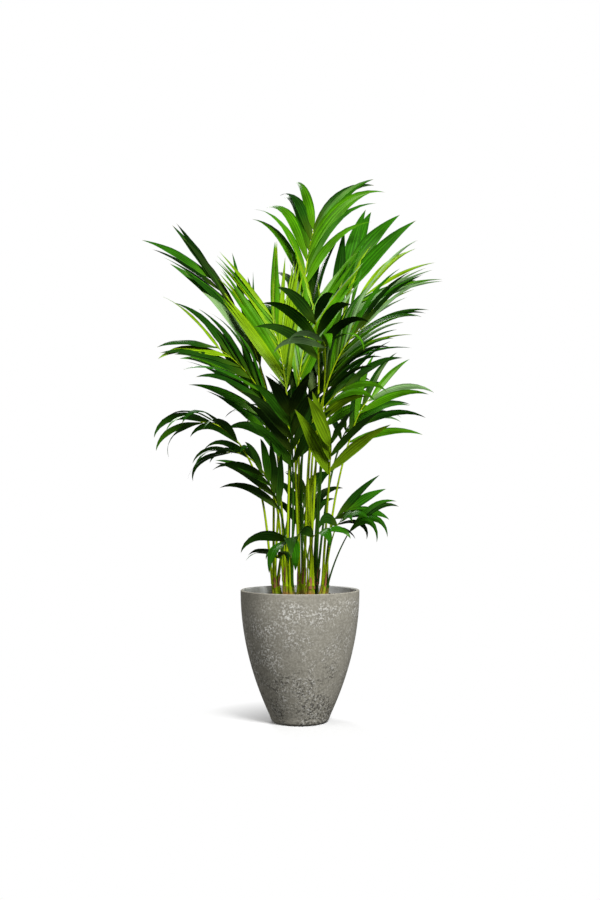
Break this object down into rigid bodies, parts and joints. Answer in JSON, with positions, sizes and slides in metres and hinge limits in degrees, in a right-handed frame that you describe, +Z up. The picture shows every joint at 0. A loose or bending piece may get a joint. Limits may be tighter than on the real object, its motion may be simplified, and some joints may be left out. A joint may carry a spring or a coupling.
{
  "type": "potted kentia palm",
  "caption": "Indoor feather palm with long arching green fronds on thin stalks, growing from a tall round stone-look planter.",
  "frame": {"origin": "middle of the planter's flat underside, on the surface that the planter stands on", "axes": "+Z up the plant, -Y towards the side that the picture shows, +X to the right of that side"},
  "size_m": [0.9854, 0.9497, 1.8437],
  "materials": {
    "planter": "matte",
    "soil": "matte",
    "stem": "matte",
    "stalk": "satin",
    "leaf": "satin"
  },
  "bodies": {
    "root": {"frond_back_deep": "leaf", "frond_back_high": "leaf", "frond_back_left": "leaf", "frond_back_low": "leaf", "frond_back_right": "leaf", "frond_back_top": "leaf", "frond_bright_left": "leaf", "frond_bright_right": "leaf", "frond_centre_low": "leaf", "frond_front": "leaf", "frond_front_bow": "leaf", "frond_front_pale": "leaf", "frond_front_tongue": "leaf", "frond_left_arch": "leaf", "frond_left_dark": "leaf", "frond_left_hang": "leaf", "frond_left_low": "leaf", "frond_left_mid": "leaf", "frond_left_sprig": "leaf", "frond_right_arc": "leaf", "frond_right_back": "leaf", "frond_right_bow": "leaf", "frond_right_dark": "leaf", "frond_right_fan": "leaf", "frond_right_front": "leaf", "frond_right_inner": "leaf", "frond_right_lower": "leaf", "frond_right_pale": "leaf", "frond_right_sprig": "leaf", "frond_top": "leaf", "frond_upper_left": "leaf", "frond_upper_right": "leaf", "planter": "planter", "soil": "soil", "stalk_bright_left": "stalk", "stalk_bright_right": "stalk", "stalk_centre_low": "stalk", "stalk_front": "stalk", "stalk_left_arch": "stalk", "stalk_left_dark": "stalk", "stalk_left_hang": "stalk", "stalk_left_low": "stalk", "stalk_left_mid": "stalk", "stalk_right_back": "stalk", "stalk_right_dark": "stalk", "stalk_right_fan": "stalk", "stalk_right_front": "stalk", "stalk_right_inner": "stalk", "stalk_right_lower": "stalk", "stalk_right_pale": "stalk", "stalk_top": "stalk", "stalk_upper_left": "stalk", "stalk_upper_right": "stalk", "stem_back_left": "stem", "stem_back_right": "stem", "stem_far_left": "stem", "stem_far_right": "stem", "stem_front_left": "stem", "stem_front_right": "stem", "stem_middle": "stem"}
  },
  "joints": []
}
